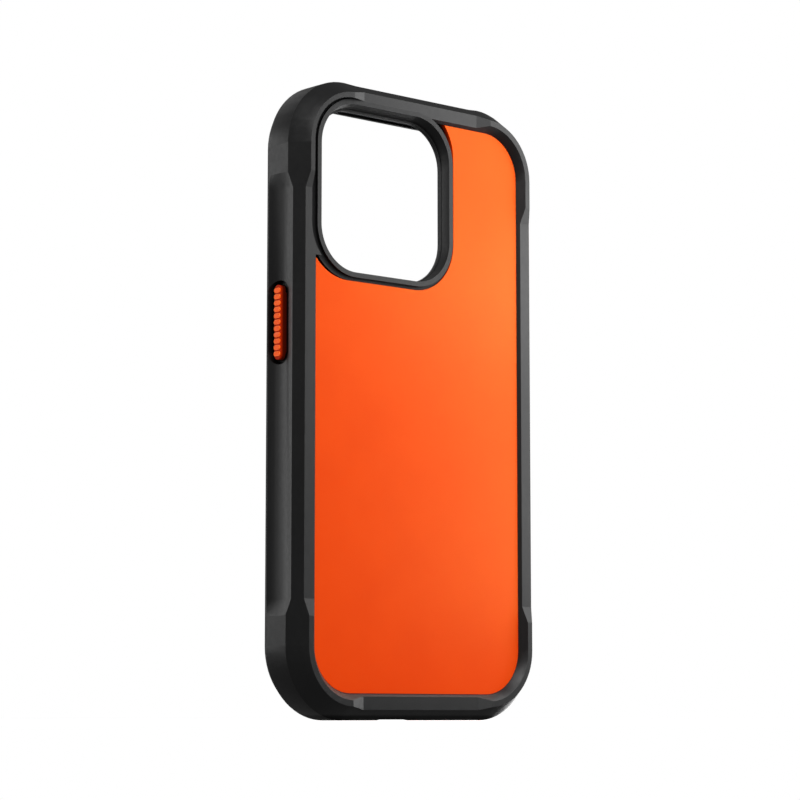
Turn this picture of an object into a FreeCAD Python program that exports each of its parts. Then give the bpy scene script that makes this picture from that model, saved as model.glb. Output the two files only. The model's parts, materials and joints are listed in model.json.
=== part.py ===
import FreeCAD, Part
import math
import os
import Sketcher
from FreeCAD import Vector

# A rugged two-material protective case for a slab phone, standing upright.
# +X is the width, +Y points to the open screen side, +Z is the height.
# The origin is at the centre of the footprint, at the lowest point.
# "Depth" is measured from the rearmost plane towards the screen side, and
# "inset" is measured from an outer side wall towards the middle.

DRIVING_SIZES = {
    # overall envelope
    "case_width": 79.6,
    "case_height": 155.6,
    "case_depth": 14.52,
    "corner_round": 17.5,
    # the phone that the case holds
    "phone_width": 70.6,
    "phone_round": 12.0,
    "phone_gap": 0.15,
    # outside bevels of the bumper
    "rear_bevel_wide": 3.3,
    "rear_bevel_deep": 4.8,
    "front_bevel_wide": 1.5,
    "front_bevel_deep": 2.38,
    # rear lip, corner pads and the recess between them
    "lip_foot": 6.37,
    "lip_slope": 1.62,
    "plate_sink": 1.87,
    "waist_sink": 1.1,
    "side_pad": 24.5,
    "end_pad": 17.0,
    "pad_ramp": 4.0,
    # hollow scoops in the outer walls
    "side_scoop_step": 0.73,
    "end_scoop_step": 0.38,
    "side_scoop_round": 9.4,
    "end_scoop_round": 16.0,
    "scoop_fade_round": 200.0,
    "scoop_reach": 2.5,
    "fade_lift": 0.05,
    # rear stack, as depths
    "rebate_deep": 2.35,
    "plate_inner": 3.07,
    "shell_rear": 3.1,
    "step_deep": 3.95,
    "shell_front": 4.75,
    "liner_rear": 4.78,
    "cavity_floor": 5.23,
    "shell_rim": 13.0,
    "front_lip_rear": 13.6,
    "front_lip_reach": 1.0,
    "plate_inset": 5.2,
    "seam": 0.05,
    "overcut": 0.5,
    # inner shell
    "shell_wall": 1.15,
    # camera opening and its raised guard
    "camera_left": 7.5,
    "camera_top": 5.9,
    "camera_wide": 41.7,
    "camera_high": 41.7,
    "camera_round": 11.0,
    "guard_width": 1.2,
    "guard_groove": 1.75,
    "guard_flange": 0.8,
    "flange_sink": 2.1,
    "guard_draft": 0.2,
    "guard_top_draft": 0.9,
    "guard_skirt": 0.8,
    "window_draft": 0.3,
    "window_top_draft": 1.3,
    "corner_web_low": 110.95,
    "corner_web_left": 2.2,
    "corner_web_right": 2.6,
    "corner_web_high": 8.0,
    "corner_web_round": 0.15,
    # magnets behind the plate
    "magnet_height": 77.0,
    "magnet_inner": 23.3,
    "magnet_outer": 27.3,
    "magnet_thick": 0.6,
    "magnet_count": 16,
    "magnet_pitch": 20.0,
    "magnet_arc": 18.6,
    "magnet_cell_arc": 18.9,
    "carrier_rim": 0.9,
    "carrier_thick": 0.65,
    "shunt_thick": 0.15,
    "shunt_rim": 0.3,
    "bar_height": 39.5,
    "bar_wide": 5.6,
    "bar_long": 14.0,
    "bar_round": 0.6,
    "tag_radius": 12.0,
    "tag_thick": 0.3,
    # buttons
    "button_across": 2.5,
    "button_level": 9.1,
    "button_sink": 0.28,
    "rib_rise": 0.3,
    "rib_thick": 1.1,
    "rib_long": 2.25,
    "rib_pitch": 1.54,
    "button_under": 1.95,
    "web_outer": 2.5,
    "web_inner": 3.15,
    "pocket_across": 6.4,
    "pocket_deep": 2.2,
    "cap_gap": 0.2,
    "pocket_margin": 1.15,
    "stem_across": 1.2,
    "stem_margin": 3.2,
    "stem_gap": 0.3,
    "pusher_outer": 3.3,
    "pusher_inner": 4.2,
    "pusher_across": 2.6,
    "pusher_margin": 1.6,
    "power_height": 94.9,
    "power_long": 18.1,
    "power_ribs": 11,
    "volume_up_height": 104.4,
    "volume_down_height": 90.6,
    "volume_long": 10.4,
    "volume_ribs": 6,
    "action_height": 117.6,
    "action_long": 7.3,
    "action_ribs": 4,
    # openings in the bottom wall
    "port_wide": 13.4,
    "port_high": 6.2,
    "slot_wide": 8.0,
    "slot_high": 2.4,
    "slot_centre": 14.6,
    "port_level": 9.355,
    # cushions in the corners of the inner shell
    "cushion_arc": 60.0,
    "cushion_gap_arc": 0.6,
    "cushion_low": 6.0,
    "cushion_tall": 6.0,
    "cushion_proud": 0.1,
}

FULL_TURN = 360.0
STRAIGHT_DOWN = -90.0
ZERO = 1e-9
TOUCHING = 1e-6
LEAST_CUT = 1e-3

doc = FreeCAD.newDocument("protective_case")


class Size:
    """A length with its value and the sheet expression that produces it."""

    def __init__(self, value, text):
        self.value = float(value)
        self.text = text

    def __add__(self, other):
        other = as_size(other)
        return Size(self.value + other.value, f"({self.text} + {other.text})")

    def __sub__(self, other):
        other = as_size(other)
        return Size(self.value - other.value, f"({self.text} - {other.text})")

    def __mul__(self, other):
        other = as_size(other)
        return Size(self.value * other.value, f"({self.text} * {other.text})")

    def __truediv__(self, other):
        other = as_size(other)
        return Size(self.value / other.value, f"({self.text} / {other.text})")

    def __neg__(self):
        return Size(-self.value, f"(0 - {self.text})")

    def __rmul__(self, other):
        return as_size(other) * self


def as_size(number):
    if isinstance(number, Size):
        return number
    return Size(number, repr(float(number)))


class Dims:
    """The driving dimensions, one attribute for each alias in the sheet."""


def make_sheet():
    sheet = doc.addObject("Spreadsheet::Sheet", "dims")
    sizes = Dims()
    for row, (alias, value) in enumerate(DRIVING_SIZES.items(), start=1):
        sheet.set(f"A{row}", alias)
        sheet.set(f"B{row}", str(value))
        sheet.setAlias(f"B{row}", alias)
        setattr(sizes, alias, Size(value, "dims." + alias))
    doc.recompute()
    return sizes


d = make_sheet()


# ---------------------------------------------------------------- sketches

def depth_y(depth):
    """Row Y of a plane at this depth from the rearmost plane."""
    return as_size(depth) - d.case_depth / 2


def new_body(label):
    body = doc.addObject("PartDesign::Body", label)
    body.Label = label
    return body


def origin_plane(body, role):
    return next(plane for plane in body.Origin.OriginFeatures if plane.Role == role)


def new_sketch(body, name, role, right=0, up=0, out=0, turn=0.0):
    """An empty sketch, parallel to one of the body's origin planes."""
    sketch = body.newObject("Sketcher::SketchObject", name)
    sketch.AttachmentSupport = [(origin_plane(body, role), "")]
    sketch.MapMode = "FlatFace"
    centre = [as_size(value) for value in (right, up, out)]
    sketch.AttachmentOffset = FreeCAD.Placement(
        Vector(*[value.value for value in centre]),
        FreeCAD.Rotation(Vector(0, 0, 1), turn),
    )
    for axis, value in zip("xyz", centre):
        sketch.setExpression("AttachmentOffset.Base." + axis, value.text)
    return sketch


def bind(sketch, index, size):
    sketch.setExpression(f"Constraints[{index}]", size.text)


def measure(sketch, kind, *terms):
    """Add a dimension; the last term is its Size."""
    size = as_size(terms[-1])
    index = sketch.addConstraint(Sketcher.Constraint(kind, *terms[:-1], size.value))
    bind(sketch, index, size)


def pin_point(sketch, curve, end, x, y):
    """Hold one end of a curve at x, y from the sketch origin."""
    for kind, axis, size in (("DistanceX", -2, as_size(x)), ("DistanceY", -1, as_size(y))):
        if abs(size.value) < ZERO:
            sketch.addConstraint(Sketcher.Constraint("PointOnObject", curve, end, axis))
        elif size.value > 0:
            measure(sketch, kind, -1, 1, curve, end, size)
        else:
            measure(sketch, kind, curve, end, -1, 1, -size)


def round_rectangle(sketch, wide, high, radius):
    """A rectangle with round corners, centred on the sketch origin."""
    wide, high, radius = as_size(wide), as_size(high), as_size(radius)
    x, y, r = wide.value / 2, high.value / 2, radius.value
    line, arc = Part.LineSegment, corner_arc
    curves = [
        line(Vector(r - x, -y), Vector(x - r, -y)),
        arc(x - r, r - y, r, 270),
        line(Vector(x, r - y), Vector(x, y - r)),
        arc(x - r, y - r, r, 0),
        line(Vector(x - r, y), Vector(r - x, y)),
        arc(r - x, y - r, r, 90),
        line(Vector(-x, y - r), Vector(-x, r - y)),
        arc(r - x, r - y, r, 180),
    ]
    sketch.addGeometry(curves, False)
    for index in range(8):
        sketch.addConstraint(Sketcher.Constraint("Tangent", index, 2, (index + 1) % 8, 1))
    for index in (0, 4):
        sketch.addConstraint(Sketcher.Constraint("Horizontal", index))
    for index in (2, 6):
        sketch.addConstraint(Sketcher.Constraint("Vertical", index))
    for index in (3, 5, 7):
        sketch.addConstraint(Sketcher.Constraint("Equal", 1, index))
    sketch.addConstraint(Sketcher.Constraint("Symmetric", 1, 3, 5, 3, -1, 1))
    measure(sketch, "DistanceX", 6, 1, 2, 1, wide)
    measure(sketch, "DistanceY", 0, 1, 4, 1, high)
    measure(sketch, "Radius", 1, radius)


def corner_arc(x, y, radius, start):
    circle = Part.Circle(Vector(x, y, 0), Vector(0, 0, 1), radius)
    return Part.ArcOfCircle(circle, math.radians(start), math.radians(start + 90))


def obround(sketch, long, across, upright=True):
    """Two parallel lines closed by half circles, centred on the origin."""
    long, across = as_size(long), as_size(across)
    half, r = (long.value - across.value) / 2, across.value / 2
    turn = 0 if upright else -90
    spin = FreeCAD.Rotation(Vector(0, 0, 1), turn)
    corners = [Vector(r, -half), Vector(r, half), Vector(-r, half), Vector(-r, -half)]
    right_low, right_high, left_high, left_low = [spin.multVec(p) for p in corners]
    top = half_circle(spin.multVec(Vector(0, half)), r, turn)
    bottom = half_circle(spin.multVec(Vector(0, -half)), r, turn + 180)
    sketch.addGeometry([
        Part.LineSegment(right_low, right_high), top,
        Part.LineSegment(left_high, left_low), bottom,
    ], False)
    for index in range(4):
        sketch.addConstraint(Sketcher.Constraint("Tangent", index, 2, (index + 1) % 4, 1))
    sketch.addConstraint(Sketcher.Constraint("Equal", 1, 3))
    sketch.addConstraint(Sketcher.Constraint("Vertical" if upright else "Horizontal", 0))
    sketch.addConstraint(Sketcher.Constraint("Symmetric", 1, 3, 3, 3, -1, 1))
    if upright:
        measure(sketch, "DistanceY", 3, 3, 1, 3, long - across)
    else:
        measure(sketch, "DistanceX", 3, 3, 1, 3, long - across)
    measure(sketch, "Radius", 1, across / 2)


def half_circle(centre, radius, start):
    circle = Part.Circle(centre, Vector(0, 0, 1), radius)
    return Part.ArcOfCircle(circle, math.radians(start), math.radians(start + 180))


def polygon(sketch, points):
    """Straight lines through points that are pairs of sizes."""
    places = [Vector(as_size(x).value, as_size(y).value) for x, y in points]
    count = len(places)
    lines = [Part.LineSegment(places[i], places[(i + 1) % count]) for i in range(count)]
    sketch.addGeometry(lines, False)
    for index in range(count):
        sketch.addConstraint(Sketcher.Constraint("Coincident", index, 2, (index + 1) % count, 1))
    for index, (x, y) in enumerate(points):
        pin_point(sketch, index, 1, x, y)


def ring_sector(sketch, inner, outer, angle):
    """A piece of a flat ring, centred on the sketch's X axis."""
    inner, outer = as_size(inner), as_size(outer)
    half = math.radians(as_size(angle).value / 2)
    r, R = inner.value, outer.value
    circles = [Part.Circle(Vector(0, 0, 0), Vector(0, 0, 1), radius) for radius in (R, r)]
    low, high = Vector(math.cos(half), -math.sin(half)), Vector(math.cos(half), math.sin(half))
    sketch.addGeometry([
        Part.ArcOfCircle(circles[0], -half, half),
        Part.LineSegment(high * R, high * r),
        Part.ArcOfCircle(circles[1], -half, half),
        Part.LineSegment(low * r, low * R),
    ], False)
    for pair in ((0, 2, 1, 1), (1, 2, 2, 2), (2, 1, 3, 1), (3, 2, 0, 1)):
        sketch.addConstraint(Sketcher.Constraint("Coincident", *pair))
    for curve in (0, 2):
        sketch.addConstraint(Sketcher.Constraint("Coincident", curve, 3, -1, 1))
    for line in (1, 3):
        sketch.addConstraint(Sketcher.Constraint("PointOnObject", -1, 1, line))
    measure(sketch, "Radius", 0, outer)
    measure(sketch, "Radius", 2, inner)
    sketch.addConstraint(Sketcher.Constraint("Symmetric", 0, 1, 0, 2, -1))
    radians = Size(2 * half, f"({as_size(angle).text} * pi / 180)")
    chord = Size(2 * R * math.sin(half), f"(2 * {outer.text} * sin({radians.text} / 2 * 1rad))")
    measure(sketch, "DistanceY", 0, 1, 0, 2, chord)


# ---------------------------------------------------------------- features

def extrude(body, kind, name, sketch, length, reverse, taper=None):
    feature = body.newObject("PartDesign::" + kind, name)
    feature.Profile = sketch
    length = as_size(length)
    feature.Length = length.value
    feature.setExpression("Length", length.text)
    feature.Reversed = reverse
    if taper is not None:
        feature.TaperAngle = taper
    sketch.Visibility = False
    return feature


def add_depth(body, name, outline, start, end):
    """Add material between two depths; outline draws in the sketch."""
    sketch = new_sketch(body, name + "_outline", "XZ_Plane", out=-depth_y(start), **outline[0])
    outline[1](sketch)
    return extrude(body, "Pad", name, sketch, as_size(end) - start, True)


def cut_depth(body, name, outline, start, end):
    """Remove material between two depths."""
    sketch = new_sketch(body, name + "_outline", "XZ_Plane", out=-depth_y(start), **outline[0])
    outline[1](sketch)
    return extrude(body, "Pocket", name, sketch, as_size(end) - start, False)


def case_outline(inset, radius):
    """The outline of the case, moved in by an inset."""
    place = {"up": d.case_height / 2}
    wide = d.case_width - 2 * as_size(inset)
    high = d.case_height - 2 * as_size(inset)
    return place, lambda sketch: round_rectangle(sketch, wide, high, radius)


def inset_outline(inset):
    """The outline at an inset, with corners concentric to the outer ones."""
    return case_outline(inset, d.corner_round - inset)


def box_outline(left, right, low, high, radius):
    """A round-cornered rectangle between four row coordinates."""
    left, right, low, high = [as_size(value) for value in (left, right, low, high)]
    place = {"right": (left + right) / 2, "up": (low + high) / 2}
    return place, lambda sketch: round_rectangle(sketch, right - left, high - low, radius)


def side_sketch(body, name, side, inset, height):
    """A sketch parallel to the side wall: sketch X is row Y, sketch Y is row Z."""
    wall = d.case_width / 2 - inset
    out = wall if side > 0 else -wall
    level = depth_y(d.button_level)
    return new_sketch(body, name, "YZ_Plane", right=level, up=height, out=out)


def add_side(body, name, side, draw, height, start, end):
    """Add material between two insets of a side wall."""
    sketch = side_sketch(body, name + "_outline", side, start, height)
    draw(sketch)
    return extrude(body, "Pad", name, sketch, as_size(end) - start, side > 0)


def cut_side(body, name, side, draw, height, start, end):
    sketch = side_sketch(body, name + "_outline", side, start, height)
    draw(sketch)
    return extrude(body, "Pocket", name, sketch, as_size(end) - start, side < 0)


# ---------------------------------------------------------------- shared insets

phone_inset = (d.case_width - d.phone_width) / 2 - d.phone_gap

camera_left = d.camera_left - d.case_width / 2
camera_right = camera_left + d.camera_wide
camera_high = d.case_height - d.camera_top
camera_low = camera_high - d.camera_high


def guard_outline(grow, grow_left=None, top=None):
    """The camera opening, grown on every side."""
    grow = as_size(grow)
    grow_left = grow if grow_left is None else as_size(grow_left)
    top = grow if top is None else as_size(top)
    return box_outline(
        camera_left - grow_left, camera_right + grow,
        camera_low - grow, camera_high + top, d.camera_round + grow,
    )


guard_edge = d.guard_width
flange_edge = d.guard_width + d.guard_flange
seat_left = d.guard_width + d.guard_groove


# ---------------------------------------------------------------- button table

BUTTONS = [
    ("power_button", -1, d.power_height, d.power_long, d.power_ribs),
    ("action_button", 1, d.action_height, d.action_long, d.action_ribs),
    ("volume_up_button", 1, d.volume_up_height, d.volume_long, d.volume_ribs),
    ("volume_down_button", 1, d.volume_down_height, d.volume_long, d.volume_ribs),
]


# ---------------------------------------------------------------- bumper

def bevel_angle(wide, deep):
    return math.degrees(math.atan2(wide.value, deep.value))


def make_bumper():
    body = new_body("bumper")
    outer_block(body)
    hollow_out(body)
    rear_recesses(body)
    side_scoops(body)
    end_scoops(body)
    camera_seat(body)
    for button in BUTTONS:
        button_pocket(body, *button)
    bottom_openings(body)


def outer_block(body):
    """Straight side walls with a wide rear bevel and a small front one."""
    straight_end = d.case_depth - d.front_bevel_deep
    place, draw = inset_outline(0)
    add_depth(body, "walls", (place, draw), d.rear_bevel_deep, straight_end)
    rear = new_sketch(body, "rear_bevel_outline", "XZ_Plane",
                      out=-depth_y(d.rear_bevel_deep), **place)
    draw(rear)
    extrude(body, "Pad", "rear_bevel", rear, d.rear_bevel_deep, False,
            -bevel_angle(d.rear_bevel_wide, d.rear_bevel_deep))
    front = new_sketch(body, "front_bevel_outline", "XZ_Plane",
                       out=-depth_y(straight_end), **place)
    draw(front)
    extrude(body, "Pad", "front_bevel", front, d.front_bevel_deep, True,
            -bevel_angle(d.front_bevel_wide, d.front_bevel_deep))


def hollow_out(body):
    """The steps inside: rear lip, plate ledge, shell seat and front lip."""
    shell_inset = phone_inset - d.shell_wall - d.seam
    cut_depth(body, "plate_window", inset_outline(d.lip_foot), d.plate_sink, d.rebate_deep)
    cut_depth(body, "plate_ledge", inset_outline(d.plate_inset), d.rebate_deep - d.seam,
              d.step_deep)
    cut_depth(body, "shell_seat", case_outline(shell_inset, shell_round()),
              d.shell_rear, d.shell_rim)
    cut_depth(body, "phone_edge", case_outline(phone_inset, d.phone_round + d.phone_gap),
              d.shell_rim, d.front_lip_rear)
    lip_inset = phone_inset + d.front_lip_reach
    cut_depth(body, "front_mouth", case_outline(lip_inset, d.phone_round - d.front_lip_reach),
              d.front_lip_rear, d.case_depth + d.overcut)
    place, draw = inset_outline(d.lip_foot)
    sketch = new_sketch(body, "rear_mouth_outline", "XZ_Plane",
                        out=-depth_y(d.plate_sink), **place)
    draw(sketch)
    extrude(body, "Pocket", "rear_mouth", sketch, d.plate_sink + d.overcut, True,
            bevel_angle(d.lip_slope, d.plate_sink))


def shell_round():
    return d.phone_round + d.phone_gap + d.shell_wall + d.seam


def rear_recesses(body):
    """The rear lip is lower between the corner pads, with short ramps."""
    outside, floor = depth_y(-d.overcut), depth_y(d.waist_sink)
    rear = depth_y(0)
    low, high = d.side_pad, d.case_height - d.side_pad
    sketch = new_sketch(body, "side_waist_outline", "YZ_Plane")
    polygon(sketch, [
        (outside, low), (rear, low), (floor, low + d.pad_ramp),
        (floor, high - d.pad_ramp), (rear, high), (outside, high),
    ])
    through(body, "side_waist", sketch)
    edge = d.case_width / 2 - d.end_pad
    sketch = new_sketch(body, "end_waist_outline", "XY_Plane")
    polygon(sketch, [
        (-edge, outside), (-edge, rear), (d.pad_ramp - edge, floor),
        (edge - d.pad_ramp, floor), (edge, rear), (edge, outside),
    ])
    through(body, "end_waist", sketch)


def through(body, name, sketch):
    pocket = body.newObject("PartDesign::Pocket", name)
    pocket.Profile = sketch
    pocket.Type = "ThroughAll"
    pocket.Midplane = True
    sketch.Visibility = False


def scoop_section(sketch, inset, chord, radius, swap):
    """A closed outline whose inner side is a shallow arc."""
    reach = d.scoop_reach

    def place(along_inset, along_depth):
        along_inset, along_depth = as_size(along_inset), as_size(along_depth)
        return (-along_depth, along_inset) if swap else (along_inset, -along_depth)

    rear, front = place(inset, chord), place(-d.fade_lift, 0)
    far_front, far_rear = place(-reach, 0), place(-reach, chord)
    corners = [front, far_front, far_rear, rear]
    points = [Vector(x.value, y.value) for x, y in corners]
    middle = (points[0] + points[3]) * 0.5
    half = (points[3] - points[0]).Length / 2
    rise = radius.value - math.sqrt(radius.value ** 2 - half ** 2)
    inward = Vector(0, 1, 0) if swap else Vector(1, 0, 0)
    lines = [Part.LineSegment(points[i], points[i + 1]) for i in range(3)]
    bow = Part.Arc(points[3], middle + inward * rise, points[0])
    sketch.addGeometry(lines + [bow], False)
    start_is_rear = (sketch.getPoint(3, 1) - points[3]).Length < TOUCHING
    rear_end, front_end = (1, 2) if start_is_rear else (2, 1)
    for pair in ((0, 2, 1, 1), (1, 2, 2, 1), (2, 2, 3, rear_end), (3, front_end, 0, 1)):
        sketch.addConstraint(Sketcher.Constraint("Coincident", *pair))
    for index in range(3):
        pin_point(sketch, index, 1, *corners[index])
    pin_point(sketch, 2, 2, *corners[3])
    measure(sketch, "Radius", 3, radius)


def loft_cut(body, name, sections):
    loft = body.newObject("PartDesign::SubtractiveLoft", name)
    loft.Profile = sections[0]
    loft.Sections = sections[1:]
    loft.Ruled = True
    for sketch in sections:
        sketch.Visibility = False
    return loft


def scoop_stations(middle, full, faded):
    """Faded, full, full and faded sections along one wall."""
    return [(middle - faded, False), (middle - full, True),
            (middle + full, True), (middle + faded, False)]


def rear_edge_chord(step):
    """Distance from the front edge to the scoop's rear edge on the bevel."""
    wall = d.case_depth - d.front_bevel_deep - d.rear_bevel_deep
    return wall + step * d.rear_bevel_deep / d.rear_bevel_wide


def side_scoops(body):
    front = depth_y(d.case_depth - d.front_bevel_deep)
    middle = d.case_height / 2
    faded = middle - d.side_pad
    full = faded - d.pad_ramp
    sections = []
    for index, (height, deep) in enumerate(scoop_stations(middle, full, faded)):
        sketch = new_sketch(body, f"side_scoop_section_{index}", "XY_Plane",
                            right=-d.case_width / 2, up=front, out=height)
        if deep:
            scoop_section(sketch, d.side_scoop_step, rear_edge_chord(d.side_scoop_step),
                          d.side_scoop_round, False)
        else:
            scoop_section(sketch, -d.fade_lift, rear_edge_chord(as_size(0)),
                          d.scoop_fade_round, False)
        sections.append(sketch)
    scoop = loft_cut(body, "left_scoop", sections)
    mirror(body, "right_scoop", scoop, origin_plane(body, "YZ_Plane"))


def end_scoops(body):
    front = depth_y(d.case_depth - d.front_bevel_deep)
    faded = d.case_width / 2 - d.end_pad
    full = faded - d.pad_ramp
    sections = []
    for index, (place, deep) in enumerate(scoop_stations(as_size(0), full, faded)):
        sketch = new_sketch(body, f"end_scoop_section_{index}", "YZ_Plane",
                            right=front, out=place)
        if deep:
            scoop_section(sketch, d.end_scoop_step, rear_edge_chord(d.end_scoop_step),
                          d.end_scoop_round, True)
        else:
            scoop_section(sketch, -d.fade_lift, rear_edge_chord(as_size(0)),
                          d.scoop_fade_round, True)
        sections.append(sketch)
    scoop = loft_cut(body, "bottom_scoop", sections)
    plane = body.newObject("PartDesign::Plane", "mid_height")
    plane.AttachmentSupport = [(origin_plane(body, "XY_Plane"), "")]
    plane.MapMode = "FlatFace"
    plane.setExpression("AttachmentOffset.Base.z", (d.case_height / 2).text)
    doc.recompute()
    mirror(body, "top_scoop", scoop, plane)


def mirror(body, name, feature, plane):
    mirrored = body.newObject("PartDesign::Mirrored", name)
    mirrored.Originals = [feature]
    mirrored.MirrorPlane = (plane, [""])
    body.Tip = mirrored


def camera_seat(body):
    """A small web under the guard's lower corner, then the guard's seat."""
    web = box_outline(camera_left - d.corner_web_left, camera_left + d.corner_web_right,
                      d.corner_web_low, d.corner_web_low + d.corner_web_high,
                      d.corner_web_round)
    add_depth(body, "corner_web", web, d.waist_sink, d.plate_sink)
    cut_depth(body, "guard_seat", guard_outline(guard_edge, seat_left), -d.overcut, d.plate_sink)
    cut_depth(body, "flange_seat",
              guard_outline(flange_edge, seat_left, guard_edge), d.plate_sink, d.shell_rear)


def button_pocket(body, name, side, height, long, _ribs):
    """A shallow pocket, the hole that the cap sits in and the web's seat inside."""
    pocket_long = long + 2 * d.pocket_margin
    hole_long = long + 2 * d.cap_gap
    hole_across = d.button_across + 2 * d.cap_gap
    cut_side(body, name + "_pocket", side,
             lambda sketch: obround(sketch, pocket_long, d.pocket_across),
             height, -d.overcut, d.pocket_deep)
    cut_side(body, name + "_hole", side,
             lambda sketch: obround(sketch, hole_long, hole_across),
             height, d.pocket_deep - d.seam, d.web_outer)
    cut_side(body, name + "_web_seat", side,
             lambda sketch: obround(sketch, pocket_long, d.pocket_across),
             height, d.web_outer, d.web_inner)


def bottom_openings(body):
    """The connector opening and a sound slot on each side of it."""
    level = depth_y(d.port_level)
    depth_of_cut = d.lip_foot + 2 * d.overcut
    openings = [
        ("port_opening", as_size(0), d.port_wide, d.port_high),
        ("left_sound_slot", -d.slot_centre, d.slot_wide, d.slot_high),
        ("right_sound_slot", d.slot_centre, d.slot_wide, d.slot_high),
    ]
    for name, x, wide, high in openings:
        sketch = new_sketch(body, name + "_outline", "XY_Plane", right=x, up=level,
                            out=-d.overcut)
        obround(sketch, wide, high, upright=False)
        extrude(body, "Pocket", name, sketch, depth_of_cut, True)


# ---------------------------------------------------------------- inner shell

def make_inner_shell():
    """A rigid tray: side walls round the phone and a floor behind it."""
    body = new_body("inner_shell")
    outer_inset = phone_inset - d.shell_wall
    outer_round = d.phone_round + d.phone_gap + d.shell_wall
    add_depth(body, "tray", case_outline(outer_inset, outer_round), d.shell_rear, d.shell_rim)
    cut_depth(body, "phone_bay", case_outline(phone_inset, d.phone_round + d.phone_gap),
              d.shell_front, d.shell_rim + d.overcut)
    skirt = d.guard_skirt + d.seam
    cut_depth(body, "guard_step", guard_outline(skirt), d.shell_rear - d.overcut, d.step_deep)
    cut_depth(body, "camera_window", far_window(), d.step_deep - d.overcut,
              d.shell_front + d.overcut)
    magnet_pockets(body)
    shell_openings(body)
    for index, (turn, x, z) in enumerate(corner_centres()):
        sketch = new_sketch(body, f"cushion_window_{index}_outline", "XZ_Plane",
                            right=x, up=z, out=-depth_y(d.cushion_low), turn=turn)
        ring_sector(sketch, d.phone_round - d.overcut, outer_round + d.overcut, d.cushion_arc)
        extrude(body, "Pocket", f"cushion_window_{index}", sketch, d.cushion_tall, False)


def far_window():
    """The opening at the phone's back, a little smaller than at the rear."""
    draft = d.window_draft
    return box_outline(camera_left + draft, camera_right - draft, camera_low + draft,
                       camera_high - d.window_top_draft, d.camera_round - draft)


def corner_centres():
    """Turn and centre of each phone corner, from top left, clockwise."""
    reach = d.phone_round + d.phone_gap
    x = d.case_width / 2 - phone_inset - reach
    low = phone_inset + reach
    high = d.case_height - phone_inset - reach
    return [(135, -x, high), (45, x, high), (-45, x, low), (-135, -x, low)]


def magnet_sketch(body, name, depth, turn=0.0):
    """A sketch at a depth, centred on the middle of the magnet ring."""
    return new_sketch(body, name, "XZ_Plane", up=d.magnet_height, out=-depth_y(depth), turn=turn)


def magnet_pockets(body):
    """Recesses in the floor, open to the rear, for what lies behind the plate."""
    start = d.shell_rear - d.overcut
    floor = d.shell_rear + d.shunt_thick + d.carrier_thick + d.seam
    sketch = magnet_sketch(body, "carrier_recess_outline", start)
    flat_ring(sketch, d.magnet_inner - d.carrier_rim - d.seam,
              d.magnet_outer + d.carrier_rim + d.seam)
    extrude(body, "Pocket", "carrier_recess", sketch, floor - start, False)
    cut_depth(body, "bar_recess", bar_outline(d.seam), start, floor)
    sketch = magnet_sketch(body, "tag_recess_outline", start)
    disc(sketch, d.tag_radius + d.seam)
    extrude(body, "Pocket", "tag_recess", sketch, d.tag_thick + d.seam + d.overcut, False)


def flat_ring(sketch, inner, outer):
    for index, radius in enumerate((outer, inner)):
        disc(sketch, radius, index)


def disc(sketch, radius, index=0):
    radius = as_size(radius)
    circle = Part.Circle(Vector(0, 0, 0), Vector(0, 0, 1), radius.value)
    sketch.addGeometry(circle, False)
    sketch.addConstraint(Sketcher.Constraint("Coincident", index, 3, -1, 1))
    measure(sketch, "Radius", index, radius)


def bar_outline(grow):
    half_wide = d.bar_wide / 2 + grow
    half_long = d.bar_long / 2 + grow
    return box_outline(-half_wide, half_wide, d.bar_height - half_long,
                       d.bar_height + half_long, d.bar_round + grow)


def shell_openings(body):
    """Slots for the button pushers, the connector and the sound slots."""
    for name, side, height, long, _ribs in BUTTONS:
        slot_long = long - d.pusher_margin + 2 * d.stem_gap
        slot_across = d.pusher_across + 2 * d.stem_gap
        cut_side(body, name + "_slot", side,
                 lambda sketch, size=slot_long, across=slot_across: obround(sketch, size, across),
                 height, d.web_inner - d.overcut, d.lip_foot)
    bottom_openings(body)


# ---------------------------------------------------------------- rear pieces

def make_back_plate():
    """The coloured cover, with a corner missing round the camera guard."""
    body = new_body("back_plate")
    add_depth(body, "rebate", inset_outline(d.plate_inset + d.seam), d.rebate_deep,
              d.plate_inner)
    add_depth(body, "field", inset_outline(d.lip_foot + d.seam), d.plate_sink, d.rebate_deep)
    beyond = seat_left + guard_edge
    cut_depth(body, "guard_corner", guard_outline(flange_edge + d.seam, beyond, beyond),
              d.plate_sink - d.overcut, d.plate_inner + d.overcut)


def make_camera_guard():
    """The raised rim round the cameras, on a flange that meets the plate."""
    body = new_body("camera_guard")
    add_depth(body, "rim", guard_outline(guard_edge), d.waist_sink, d.plate_inner)
    add_depth(body, "flange", guard_outline(flange_edge, seat_left, guard_edge),
              d.flange_sink, d.plate_inner)
    add_depth(body, "skirt", guard_outline(d.guard_skirt), d.plate_inner, d.step_deep)
    place, draw = guard_outline(0)
    near = new_sketch(body, "opening_near", "XZ_Plane", out=-depth_y(d.waist_sink), **place)
    draw(near)
    draft = d.guard_draft
    place, draw = box_outline(camera_left + draft, camera_right - draft, camera_low + draft,
                              camera_high - d.guard_top_draft, d.camera_round - draft)
    far = new_sketch(body, "opening_far", "XZ_Plane", out=-depth_y(d.step_deep), **place)
    draw(far)
    loft_cut(body, "opening", [near, far])


def make_liner():
    """The soft sheet that the phone's back rests on."""
    body = new_body("microfibre_liner")
    inset = phone_inset + d.phone_gap
    add_depth(body, "sheet", case_outline(inset, d.phone_round), d.liner_rear, d.cavity_floor)
    cut_depth(body, "window", far_window(), d.liner_rear - d.overcut,
              d.cavity_floor + d.overcut)


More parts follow.
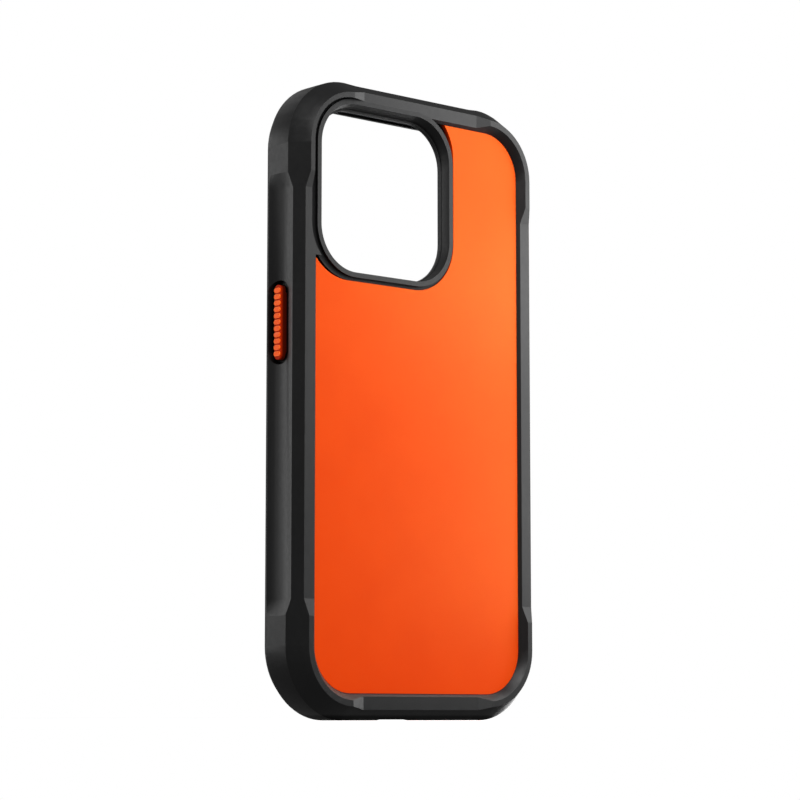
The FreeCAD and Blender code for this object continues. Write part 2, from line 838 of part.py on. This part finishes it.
def make_magnet_carrier():
    """A flat plastic ring with a cell for each magnet."""
    carrier = new_body("magnet_carrier")
    rear = d.shell_rear + d.shunt_thick
    sketch = magnet_sketch(carrier, "carrier_outline", rear)
    flat_ring(sketch, d.magnet_inner - d.carrier_rim, d.magnet_outer + d.carrier_rim)
    extrude(carrier, "Pad", "carrier", sketch, d.carrier_thick, True)
    cell = magnet_sketch(carrier, "cell_outline", rear - d.overcut, turn=first_magnet_turn())
    ring_sector(cell, d.magnet_inner - d.seam, d.magnet_outer + d.seam, d.magnet_cell_arc)
    cut = extrude(carrier, "Pocket", "cell", cell, d.carrier_thick + 2 * d.overcut, False)
    polar(carrier, "cells", cut)


def first_magnet_turn():
    """The turn of the first magnet, past the gap at the lower side."""
    empty_pitches = FULL_TURN / d.magnet_pitch.value - d.magnet_count.value
    return STRAIGHT_DOWN + d.magnet_pitch.value * (empty_pitches + 1) / 2


def polar(body, name, feature):
    """Repeat a feature round the magnet axis, leaving the lower gap open."""
    pattern = body.newObject("PartDesign::PolarPattern", name)
    pattern.Originals = [feature]
    pattern.Axis = (feature.Profile[0], ["N_Axis"])
    pattern.Angle = d.magnet_pitch.value * (d.magnet_count.value - 1)
    pattern.Occurrences = int(d.magnet_count.value)
    body.Tip = pattern


def make_magnet_ring():
    """Arc magnets in an open ring, each a solid of its own."""
    ring = doc.addObject("Part::Feature", "magnet_ring")
    ring.Label = "magnet_ring"
    half = d.magnet_arc.value / 2
    front = depth_y(d.shell_rear + d.shunt_thick + d.magnet_thick).value
    solids = []
    for index in range(int(d.magnet_count.value)):
        turn = first_magnet_turn() + index * d.magnet_pitch.value
        solids.append(magnet_solid(turn - half, turn + half, front))
    ring.Shape = Part.makeCompound(solids)


def magnet_solid(start, end, front):
    centre = Vector(0, front, d.magnet_height.value)
    angles = [math.radians(value) for value in (start, (start + end) / 2, end)]
    rim = [[centre + Vector(math.cos(a) * r, 0, math.sin(a) * r) for a in angles]
           for r in (d.magnet_inner.value, d.magnet_outer.value)]
    inner, outer = rim
    wire = Part.Wire([
        Part.Arc(*outer).toShape(), Part.makeLine(outer[2], inner[2]),
        Part.Arc(*inner[::-1]).toShape(), Part.makeLine(inner[0], outer[0]),
    ])
    return Part.Face(wire).extrude(Vector(0, -d.magnet_thick.value, 0))


def make_shunt():
    """The thin steel ring that closes the magnets' field at the rear."""
    body = new_body("magnet_shunt")
    sketch = magnet_sketch(body, "shunt_outline", d.shell_rear)
    flat_ring(sketch, d.magnet_inner - d.shunt_rim, d.magnet_outer + d.shunt_rim)
    extrude(body, "Pad", "shunt", sketch, d.shunt_thick, True)


def make_alignment_magnet():
    """The upright bar below the ring that stops a holder from turning."""
    body = new_body("alignment_magnet")
    add_depth(body, "bar", bar_outline(as_size(0)), d.shell_rear,
              d.shell_rear + d.carrier_thick)


def make_tag():
    """A round film tag inside the magnet ring."""
    body = new_body("nfc_tag")
    sketch = magnet_sketch(body, "tag_outline", d.shell_rear)
    disc(sketch, d.tag_radius)
    extrude(body, "Pad", "tag", sketch, d.tag_thick, True)


# ---------------------------------------------------------------- buttons

def make_button(name, side, height, long, ribs):
    """A ribbed cap on a stem, the pusher behind it and the web between."""
    make_cap(name, side, height, long, ribs)
    pusher = new_body(name + "_pusher")
    pusher_long = long - d.pusher_margin
    add_side(pusher, "plunger", side,
             lambda sketch: obround(sketch, pusher_long, d.pusher_across),
             height, d.pusher_outer, d.pusher_inner)
    web = new_body(name + "_web")
    web_long = long + 2 * d.pocket_margin
    add_side(web, "membrane", side,
             lambda sketch: obround(sketch, web_long, d.pocket_across),
             height, d.web_outer, d.web_inner)
    cut_side(web, "stem_hole", side,
             lambda sketch: obround(sketch, long - d.stem_margin + 2 * d.stem_gap,
                                    d.stem_across + 2 * d.stem_gap),
             height, d.web_outer - d.overcut, d.web_inner + d.overcut)


def make_cap(name, side, height, long, ribs):
    cap = new_body(name + "_cap")
    rib_foot = d.button_sink + d.rib_rise
    add_side(cap, "base", side,
             lambda sketch: obround(sketch, long, d.button_across),
             height, rib_foot, d.button_under)
    add_side(cap, "stem", side,
             lambda sketch: obround(sketch, long - d.stem_margin, d.stem_across),
             height, d.button_under, d.pusher_outer)
    spread = (ribs - 1) * d.rib_pitch
    lowest = height - spread / 2
    rib = add_side(cap, "rib", side,
                   lambda sketch: obround(sketch, d.rib_long, d.rib_thick, upright=False),
                   lowest, d.button_sink, rib_foot)
    pattern = cap.newObject("PartDesign::LinearPattern", "ribs")
    pattern.Originals = [rib]
    pattern.Direction = (rib.Profile[0], ["V_Axis"])
    pattern.Length = spread.value
    pattern.setExpression("Length", spread.text)
    pattern.Occurrences = int(ribs.value)
    cap.Tip = pattern


# ---------------------------------------------------------------- corner cushions

def make_cushions():
    names = ("top_left", "top_right", "bottom_right", "bottom_left")
    inner = d.phone_round + d.phone_gap - d.cushion_proud
    outer = d.phone_round + d.phone_gap + d.shell_wall
    for name, (turn, x, z) in zip(names, corner_centres()):
        body = new_body("corner_cushion_" + name)
        sketch = new_sketch(body, "cushion_outline", "XZ_Plane", right=x, up=z,
                            out=-depth_y(d.cushion_low + d.seam), turn=turn)
        ring_sector(sketch, inner, outer, d.cushion_arc - d.cushion_gap_arc)
        extrude(body, "Pad", "cushion", sketch, d.cushion_tall - 2 * d.seam, True)


# ---------------------------------------------------------------- checks and files

def subparts():
    kinds = ("PartDesign::Body", "Part::Feature")
    return [item for item in doc.Objects if item.TypeId in kinds]


def check_model():
    for item in doc.Objects:
        if "Invalid" in item.State or "Error" in item.State:
            raise RuntimeError(f"{item.Name} failed: {item.State}")
    for item in subparts():
        if item.Shape.isNull() or not item.Shape.isValid():
            raise RuntimeError(f"{item.Label} has no valid shape")
    for item in doc.Objects:
        if item.TypeId in ("PartDesign::Pocket", "PartDesign::SubtractiveLoft"):
            removed = item.BaseFeature.Shape.Volume - item.Shape.Volume
            if removed < LEAST_CUT:
                raise RuntimeError(f"{item.Name} removes nothing")


def write_parts():
    os.makedirs("parts", exist_ok=True)
    for item in subparts():
        item.Shape.exportStep(f"parts/{item.Label}.step")
        print(f"{item.Label}: {len(item.Shape.Solids)} solid(s), {item.Shape.Volume:.1f} mm3")


make_bumper()
make_inner_shell()
make_back_plate()
make_camera_guard()
make_liner()
make_magnet_carrier()
make_magnet_ring()
make_shunt()
make_alignment_magnet()
make_tag()
for button in BUTTONS:
    make_button(*button)
make_cushions()
doc.recompute()
check_model()
write_parts()
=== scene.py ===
import json
import math

import bpy
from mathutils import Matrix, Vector


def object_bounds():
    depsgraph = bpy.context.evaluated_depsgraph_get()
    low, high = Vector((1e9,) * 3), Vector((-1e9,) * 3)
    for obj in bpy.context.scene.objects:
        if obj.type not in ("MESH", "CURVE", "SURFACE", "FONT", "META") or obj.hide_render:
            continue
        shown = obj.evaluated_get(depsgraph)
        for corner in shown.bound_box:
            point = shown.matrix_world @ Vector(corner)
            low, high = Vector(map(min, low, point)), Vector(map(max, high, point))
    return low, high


# A rugged phone case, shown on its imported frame: rounded edges, moulded,
# brushed and plated finishes, a pale floor, soft studio lights and the camera.

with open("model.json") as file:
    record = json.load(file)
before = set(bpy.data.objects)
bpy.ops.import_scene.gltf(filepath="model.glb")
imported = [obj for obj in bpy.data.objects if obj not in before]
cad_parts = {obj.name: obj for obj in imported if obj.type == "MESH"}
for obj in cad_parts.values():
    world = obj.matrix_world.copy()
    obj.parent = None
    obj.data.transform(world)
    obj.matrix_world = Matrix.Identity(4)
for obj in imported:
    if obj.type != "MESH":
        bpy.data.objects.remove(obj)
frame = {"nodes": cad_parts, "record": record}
cad_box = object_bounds()

MM = 0.001
WHITE = (1.0, 1.0, 1.0)

BUTTONS = ["power_button", "action_button", "volume_up_button", "volume_down_button"]
CORNERS = ["top_left", "top_right", "bottom_right", "bottom_left"]


# ---------------------------------------------------------------- edges

# pieces, and the width of their edge fillets in millimetres
FILLETS = [
    (["bumper"], 0.14),
    (["camera_guard"], 0.09),
    (["back_plate"], 0.08),
    (["inner_shell"], 0.15),
    ([name + "_cap" for name in BUTTONS], 0.07),
    ([name + "_web" for name in BUTTONS], 0.1),
    ([name + "_pusher" for name in BUTTONS], 0.15),
    (["corner_cushion_" + name for name in CORNERS], 0.15),
]
WELD_GAP = 0.002 * MM
FLAT_ANGLE = math.radians(0.4)
SHARP_ANGLE = math.radians(22.0)
FILLET_SEGMENTS = 3


def round_edges(names, width):
    """Small fillets on the CAD shapes, as modifiers only."""
    for name in names:
        piece = frame["nodes"][name]
        weld = piece.modifiers.new("weld", "WELD")
        weld.merge_threshold = WELD_GAP
        flat = piece.modifiers.new("flat_faces", "DECIMATE")
        flat.decimate_type = "DISSOLVE"
        flat.angle_limit = FLAT_ANGLE
        bevel = piece.modifiers.new("fillet", "BEVEL")
        bevel.limit_method = "ANGLE"
        bevel.angle_limit = SHARP_ANGLE
        bevel.width = width * MM
        bevel.segments = FILLET_SEGMENTS
        bevel.use_clamp_overlap = True
        bevel.harden_normals = True


# ---------------------------------------------------------------- materials

# Colours are linear. A moulded piece has three tones: the dark and the light
# parts of its clouds, and its edges: wear, and on the button a painted highlight.
RUBBER_TONES = ((0.0045, 0.0045, 0.0047), (0.0075, 0.0075, 0.0078), (0.016, 0.016, 0.0165))
CUSHION_TONES = ((0.024, 0.024, 0.025), (0.04, 0.04, 0.042), (0.016, 0.016, 0.0165))
BLACK_TONES = ((0.006, 0.006, 0.0062), (0.009, 0.009, 0.0093), (0.045, 0.045, 0.046))
PLATE_TONES = ((0.9, 0.042, 0.0008), (0.94, 0.05, 0.0012), (0.96, 0.09, 0.008))
# the button's third tone, on its edges, is a painted highlight
BUTTON_TONES = ((0.9, 0.075, 0.003), (1.0, 0.11, 0.005), (1.0, 0.42, 0.06))
CARRIER_TONES = ((0.55, 0.55, 0.53), (0.64, 0.64, 0.62), (0.75, 0.75, 0.73))
TAG_TONES = ((0.6, 0.6, 0.56), (0.7, 0.7, 0.66), (0.8, 0.8, 0.76))
NAP_TONES = ((0.024, 0.024, 0.026), (0.05, 0.05, 0.054))
PILE_TIP = (0.09, 0.09, 0.095)
PILE_SHEEN = (0.6, 0.6, 0.63, 1)
NICKEL_TONES = ((0.52, 0.51, 0.49), (0.68, 0.67, 0.64))
STEEL_TONES = ((0.36, 0.36, 0.37), (0.5, 0.5, 0.51))
PAPER_TONES = ((0.93, 0.93, 0.93), (0.96, 0.96, 0.96))
PLATE_GLOSS = (1.0, 0.95, 0.0, 1)
BUTTON_GLOSS = (1.0, 0.5, 0.1, 1)
# painted shade on the sides of a button's cap: deep in its pocket, and just below the ribs
CAP_SIDE_PAINTED_SHADE = ((0.06, 0.004, 0.001), (0.36, 0.016, 0.0015))

# pattern sizes, in millimetres
CLOUD_SIZE = 14.0
WAVE_SIZE = 5.0
RUBBER_GRAIN = 0.16
BLACK_GRAIN = 0.12
SATIN_GRAIN = 0.14
BUTTON_GRAIN = 0.1
NAP_SIZE = 9.0
PILE_SIZE = 0.22
STREAK_SIZE = 0.3
STAIN_SIZE = 4.0
PAPER_GRAIN = 1.5

# a button's ribs, in millimetres from the middle plane: where the floor between them lies, how
# far up its painted shade fades into the ribs and how far down the painted shade on the sides
# deepens
RIB_FOOT = 39.22
RIB_BLEND = 0.08
CAP_SIDE_SHADE_DEPTH = 0.7


class Finish:
    """A material built from nodes, with its patterns laid out in millimetres."""

    def __init__(self, name):
        self.material = bpy.data.materials.new(name)
        self.material.use_nodes = True
        self.tree = self.material.node_tree
        self.shader = self.tree.nodes["Principled BSDF"]
        coords = self.node("ShaderNodeTexCoord")
        scaled = self.node("ShaderNodeVectorMath", operation="SCALE")
        scaled.inputs["Scale"].default_value = 1 / MM
        self.link(coords.outputs["Object"], scaled.inputs[0])
        self.place = scaled.outputs[0]

    def node(self, kind, **settings):
        made = self.tree.nodes.new(kind)
        for key, value in settings.items():
            setattr(made, key, value)
        return made

    def link(self, source, target):
        self.tree.links.new(source, target)

    def drive(self, name, source):
        """Let a pattern set one of the shader's own sockets."""
        self.link(source, self.shader.inputs[name])

    def noise(self, size, detail=3.0, stretch=(1, 1, 1)):
        """Smooth noise whose lumps are about this many millimetres across."""
        place = self.node("ShaderNodeMapping")
        place.inputs["Scale"].default_value = stretch
        self.link(self.place, place.inputs["Vector"])
        pattern = self.node("ShaderNodeTexNoise")
        pattern.inputs["Scale"].default_value = 1 / size
        pattern.inputs["Detail"].default_value = detail
        self.link(place.outputs[0], pattern.inputs["Vector"])
        return pattern.outputs["Fac"]

    def spread(self, value, low, high, start=0.3, end=0.7):
        """Stretch a pattern's range, from start to end, between two values."""
        mapped = self.node("ShaderNodeMapRange")
        ends = {"From Min": start, "From Max": end, "To Min": low, "To Max": high}
        for socket, number in ends.items():
            mapped.inputs[socket].default_value = number
        self.link(value, mapped.inputs["Value"])
        return mapped.outputs["Result"]

    def mask(self, value, start=0.3, end=0.7):
        return self.spread(value, 0.0, 1.0, start, end)

    def blend(self, amount, first, second):
        """Mix two colours, each a colour or another node's output."""
        mixed = self.node("ShaderNodeMix", data_type="RGBA")
        self.link(amount, mixed.inputs["Factor"])
        for socket, colour in ((mixed.inputs[6], first), (mixed.inputs[7], second)):
            if isinstance(colour, tuple):
                socket.default_value = (*colour, 1)
            else:
                self.link(colour, socket)
        return mixed.outputs[2]

    def edge_wear_and_highlight(self, width):
        """1 on a convex or concave edge, falling to 0 this far from it."""
        rounded = self.node("ShaderNodeBevel", samples=4)
        rounded.inputs["Radius"].default_value = width * MM
        flat = self.node("ShaderNodeNewGeometry")
        match = self.node("ShaderNodeVectorMath", operation="DOT_PRODUCT")
        self.link(rounded.outputs[0], match.inputs[0])
        self.link(flat.outputs["Normal"], match.inputs[1])
        return self.spread(match.outputs["Value"], 1.0, 0.0, start=0.86, end=0.995)

    def open_air(self, reach):
        """1 on open surfaces, falling to 0 in grooves this many millimetres wide."""
        around = self.node("ShaderNodeAmbientOcclusion", samples=8)
        around.inputs["Distance"].default_value = reach * MM
        return self.mask(around.outputs["AO"], start=0.45, end=0.9)

    def from_middle(self):
        """Distance from the plane that halves the case's width, in millimetres."""
        parts = self.node("ShaderNodeSeparateXYZ")
        self.link(self.place, parts.inputs[0])
        distance = self.node("ShaderNodeMath", operation="ABSOLUTE")
        self.link(parts.outputs["X"], distance.inputs[0])
        return distance.outputs[0]

    def bump(self, height, depth, under=None):
        """Raise the surface by a pattern, this many millimetres deep."""
        rib_unshaded_mask = self.node("ShaderNodeBump")
        rib_unshaded_mask.inputs["Distance"].default_value = depth * MM
        self.link(height, rib_unshaded_mask.inputs["Height"])
        if under is not None:
            self.link(under, rib_unshaded_mask.inputs["Normal"])
        return rib_unshaded_mask.outputs["Normal"]

    def finish(self, colour, roughness, normal):
        self.drive("Base Color", colour)
        self.drive("Roughness", roughness)
        self.drive("Normal", normal)
        return self.material

    def fixed(self, **sockets):
        """Numbers and colours that are the same all over the surface."""
        for name, value in sockets.items():
            self.shader.inputs[name.replace("_", " ")].default_value = value


def moulded(name, tones, rough, grain, depth, edge):
    """Moulded plastic or rubber: clouded colour, spark grain, and edges in their own tone: wear,
    and on the button a painted highlight.
    """
    dark, light, wear_and_highlight_tone = tones
    skin = Finish(name)
    colour = skin.blend(skin.mask(skin.noise(CLOUD_SIZE)), dark, light)
    fine = skin.noise(grain, detail=4.0)
    speckle = skin.spread(fine, 0.0, 0.35, start=0.45, end=0.75)
    colour = skin.blend(speckle, colour, light)
    colour = skin.blend(skin.edge_wear_and_highlight(edge), colour, wear_and_highlight_tone)
    roughness = skin.spread(skin.noise(grain * 6), *rough)
    wave = skin.bump(skin.noise(WAVE_SIZE, detail=1.0), depth * 3)
    return skin, colour, roughness, skin.bump(fine, depth, wave)


def painted_groove_shade(skin, reach):
    """Painted shade: the surface's sheen dies away in pockets and grooves, darkening them."""
    sheen = skin.spread(skin.open_air(reach), 0.04, 0.5, start=0.0, end=1.0)
    skin.drive("Specular IOR Level", sheen)


def elastomer(name, tones=RUBBER_TONES):
    skin, *parts = moulded(name, tones, rough=(0.38, 0.46), grain=RUBBER_GRAIN,
                           depth=0.004, edge=0.2)
    painted_groove_shade(skin, reach=1.6)
    return skin.finish(*parts)


def black_plastic(name):
    skin, *parts = moulded(name, BLACK_TONES, rough=(0.5, 0.6), grain=BLACK_GRAIN,
                           depth=0.004, edge=0.15)
    painted_groove_shade(skin, reach=3.0)
    return skin.finish(*parts)


def bright_plastic(name, tones, rough, gloss=(*WHITE, 1)):
    """Pale or strongly coloured plastic, with a tinted gloss."""
    skin, *parts = moulded(name, tones, rough, grain=SATIN_GRAIN, depth=0.003, edge=0.12)
    skin.fixed(Specular_Tint=gloss)
    return skin.finish(*parts)


def painted_shade_ribbed_plastic(name):
    """Vivid plastic on the ribs; painted shade, deep red and with little gloss, between them and
    down the sides; and a painted glow of its own colour.
    """
    skin, colour, roughness, normal = moulded(name, BUTTON_TONES, rough=(0.34, 0.42),
                                              grain=BUTTON_GRAIN, depth=0.003, edge=0.1)
    # painted shade: below the ribs' foot the colour darkens to deep red and the gloss fades
    height = skin.from_middle()
    side_shade_mask = skin.mask(height, RIB_FOOT - CAP_SIDE_SHADE_DEPTH, RIB_FOOT)
    rib_unshaded_mask = skin.mask(height, RIB_FOOT, RIB_FOOT + RIB_BLEND)
    colour = skin.blend(rib_unshaded_mask, skin.blend(side_shade_mask, *CAP_SIDE_PAINTED_SHADE), colour)
    # painted glow: the button gives off its own colour as light, though it is no lamp
    skin.fixed(Specular_Tint=BUTTON_GLOSS, Emission_Strength=0.4)
    skin.drive("Specular IOR Level", skin.spread(rib_unshaded_mask, 0.05, 0.3, start=0.0, end=1.0))
    skin.drive("Emission Color", colour)
    return skin.finish(colour, roughness, normal)


def microfibre(name):
    """Short brushed pile, with strokes of lighter and darker nap."""
    cloth = Finish(name)
    nap = cloth.noise(NAP_SIZE, detail=4.0, stretch=(1, 1, 0.45))
    pile = cloth.noise(PILE_SIZE, detail=5.0, stretch=(1, 1, 0.5))
    colour = cloth.blend(cloth.mask(nap, start=0.35, end=0.65), *NAP_TONES)
    tips = cloth.spread(pile, 0.0, 0.6, start=0.4, end=0.75)
    colour = cloth.blend(tips, colour, PILE_TIP)
    roughness = cloth.spread(pile, 0.85, 1.0)
    soft = cloth.bump(nap, 0.06)
    cloth.fixed(Sheen_Weight=0.5, Sheen_Roughness=0.4, Sheen_Tint=PILE_SHEEN)
    return cloth.finish(colour, roughness, cloth.bump(pile, 0.05, soft))


def metal(name, tones, rough, streak):
    """Plated or rolled metal with fine lines along one direction."""
    dark, light = tones
    sheet = Finish(name)
    lines = sheet.noise(STREAK_SIZE, detail=4.0, stretch=streak)
    colour = sheet.blend(sheet.mask(sheet.noise(STAIN_SIZE)), dark, light)
    colour = sheet.blend(sheet.edge_wear_and_highlight(0.1), colour, light)
    sheet.fixed(Metallic=1.0)
    return sheet.finish(colour, sheet.spread(lines, *rough), sheet.bump(lines, 0.002))


def finishes():
    """One material for each slot of the record."""
    return {
        "bumper_elastomer": elastomer("moulded_elastomer"),
        "shell_black": black_plastic("moulded_shell"),
        "plate_orange": bright_plastic("satin_orange_plate", PLATE_TONES, (0.31, 0.36),
                                       gloss=PLATE_GLOSS),
        "guard_black": black_plastic("moulded_guard"),
        "liner_fabric": microfibre("brushed_microfibre"),
        "carrier_plastic": bright_plastic("carrier_white", CARRIER_TONES, (0.45, 0.6)),
        "magnet_metal": metal("nickel_plate", NICKEL_TONES, (0.22, 0.36), streak=(1, 1, 6)),
        "shunt_steel": metal("rolled_steel", STEEL_TONES, (0.3, 0.5), streak=(8, 1, 1)),
        "tag_film": bright_plastic("tag_film", TAG_TONES, (0.25, 0.4)),
        "button_orange": painted_shade_ribbed_plastic("ribbed_orange_button"),
        "pusher_black": black_plastic("moulded_pusher"),
        "web_elastomer": elastomer("web_elastomer"),
        "cushion_elastomer": elastomer("cushion_elastomer", CUSHION_TONES),
    }


def dress(made):
    """Give every CAD node the material of its slot."""
    for part in frame["record"]["subparts"]:
        mesh = frame["nodes"][part["node"]].data
        mesh.materials.clear()
        mesh.materials.append(made[part["material_slot"]])


# ---------------------------------------------------------------- studio

FLOOR_RADIUS = 0.35
FLOOR_SIDES = 96
FLOOR_GLOW = 0.55
# the surround's strength as the camera sees it, and as a light on the case
SURROUND_SHOWN = 1.0
SURROUND_LIT = 0.13
CAMERA_PLACE = (-0.42398, -0.47878, 0.001)
CAMERA_TURN = -41.41
CAMERA_RISE = -6.96
CAMERA_LENS = 116.6
CAMERA_SENSOR = 36.0

# name, degrees round from the back of the case, degrees up, metres away, metres across, watts
SOFTBOXES = [
    ("left_key", -30, 45, 0.6, 0.35, 1.9),
    ("back_fill", 0, 10, 0.7, 0.4, 1.65),
    ("near_right", 64, 3, 0.17, 0.12, 0.12),
    ("near_top_right", 56, 33, 0.17, 0.12, 0.13),
    ("right_rim", 110, 10, 0.7, 0.4, 1.0),
    ("screen_side_left", -150, 10, 0.7, 0.4, 0.8),
    ("left_rim", -120, 14, 0.7, 0.4, 0.36),
    ("screen_side_high", 175, 35, 0.6, 0.35, 0.15),
    ("low_glint", 72, -5, 0.7, 0.15, 0.6),
    ("under_glint", 125, -12, 0.6, 0.2, 0.4),
]


def floor_finish():
    paper = Finish("floor_paper")
    grain = paper.noise(PAPER_GRAIN)
    colour = paper.blend(paper.mask(grain), *PAPER_TONES)
    paper.fixed(Specular_IOR_Level=0.0, Emission_Color=(*WHITE, 1), Emission_Strength=FLOOR_GLOW)
    return paper.finish(colour, paper.spread(grain, 0.9, 1.0), paper.bump(grain, 0.01))


def make_floor():
    """A round pale table, which throws no light back on the case."""
    turns = [2 * math.pi * index / FLOOR_SIDES for index in range(FLOOR_SIDES)]
    rim = [(FLOOR_RADIUS * math.cos(turn), FLOOR_RADIUS * math.sin(turn), 0) for turn in turns]
    mesh = bpy.data.meshes.new("floor")
    mesh.from_pydata(rim, [], [tuple(range(FLOOR_SIDES))])
    mesh.materials.append(floor_finish())
    floor = bpy.data.objects.new("floor", mesh)
    floor.visible_diffuse = False
    floor.visible_glossy = False
    bpy.context.scene.collection.objects.link(floor)


def aim(thing, place, target):
    """Put a light or the camera in its place, facing a target."""
    thing.location = place
    thing.rotation_euler = (target - place).to_track_quat("-Z", "Y").to_euler()


def toward(turn, rise):
    """The direction this many degrees round from the back of the case, and up."""
    turn, rise = math.radians(turn), math.radians(rise)
    level = math.cos(rise)
    return Vector((math.sin(turn) * level, -math.cos(turn) * level, math.sin(rise)))


def make_softbox(name, turn, rise, distance, side, power):
    """A soft square light, in watts, aimed at the case and unseen itself."""
    light = bpy.data.lights.new(name, "AREA")
    light.size = side
    light.energy = power
    box = bpy.data.objects.new(name, light)
    box.visible_camera = False
    bpy.context.scene.collection.objects.link(box)
    target = sum(cad_box, Vector()) / 2
    aim(box, target + distance * toward(turn, rise), target)


def make_surround():
    """A white surround: bright behind the object, dimmer as a light on it."""
    world = bpy.data.worlds.new("surround")
    world.use_nodes = True
    nodes, links = world.node_tree.nodes, world.node_tree.links
    path = nodes.new("ShaderNodeLightPath")
    strength = nodes.new("ShaderNodeMapRange")
    strength.inputs["To Min"].default_value = SURROUND_LIT
    strength.inputs["To Max"].default_value = SURROUND_SHOWN
    links.new(path.outputs["Is Camera Ray"], strength.inputs["Value"])
    surround = nodes["Background"]
    surround.inputs["Color"].default_value = (*WHITE, 1)
    links.new(strength.outputs["Result"], surround.inputs["Strength"])
    bpy.context.scene.world = world


def make_camera():
    """The view from behind the case, on the power button's side."""
    view = bpy.data.cameras.new("camera")
    view.lens = CAMERA_LENS
    view.sensor_width = CAMERA_SENSOR
    camera = bpy.data.objects.new("camera", view)
    bpy.context.scene.collection.objects.link(camera)
    place = Vector(CAMERA_PLACE)
    aim(camera, place, place - toward(CAMERA_TURN, CAMERA_RISE))
    bpy.context.scene.camera = camera


# ---------------------------------------------------------------- build

for fillet in FILLETS:
    round_edges(*fillet)
dress(finishes())

make_floor()
for softbox in SOFTBOXES:
    make_softbox(*softbox)
make_surround()
make_camera()
bpy.context.scene.view_settings.view_transform = "Standard"
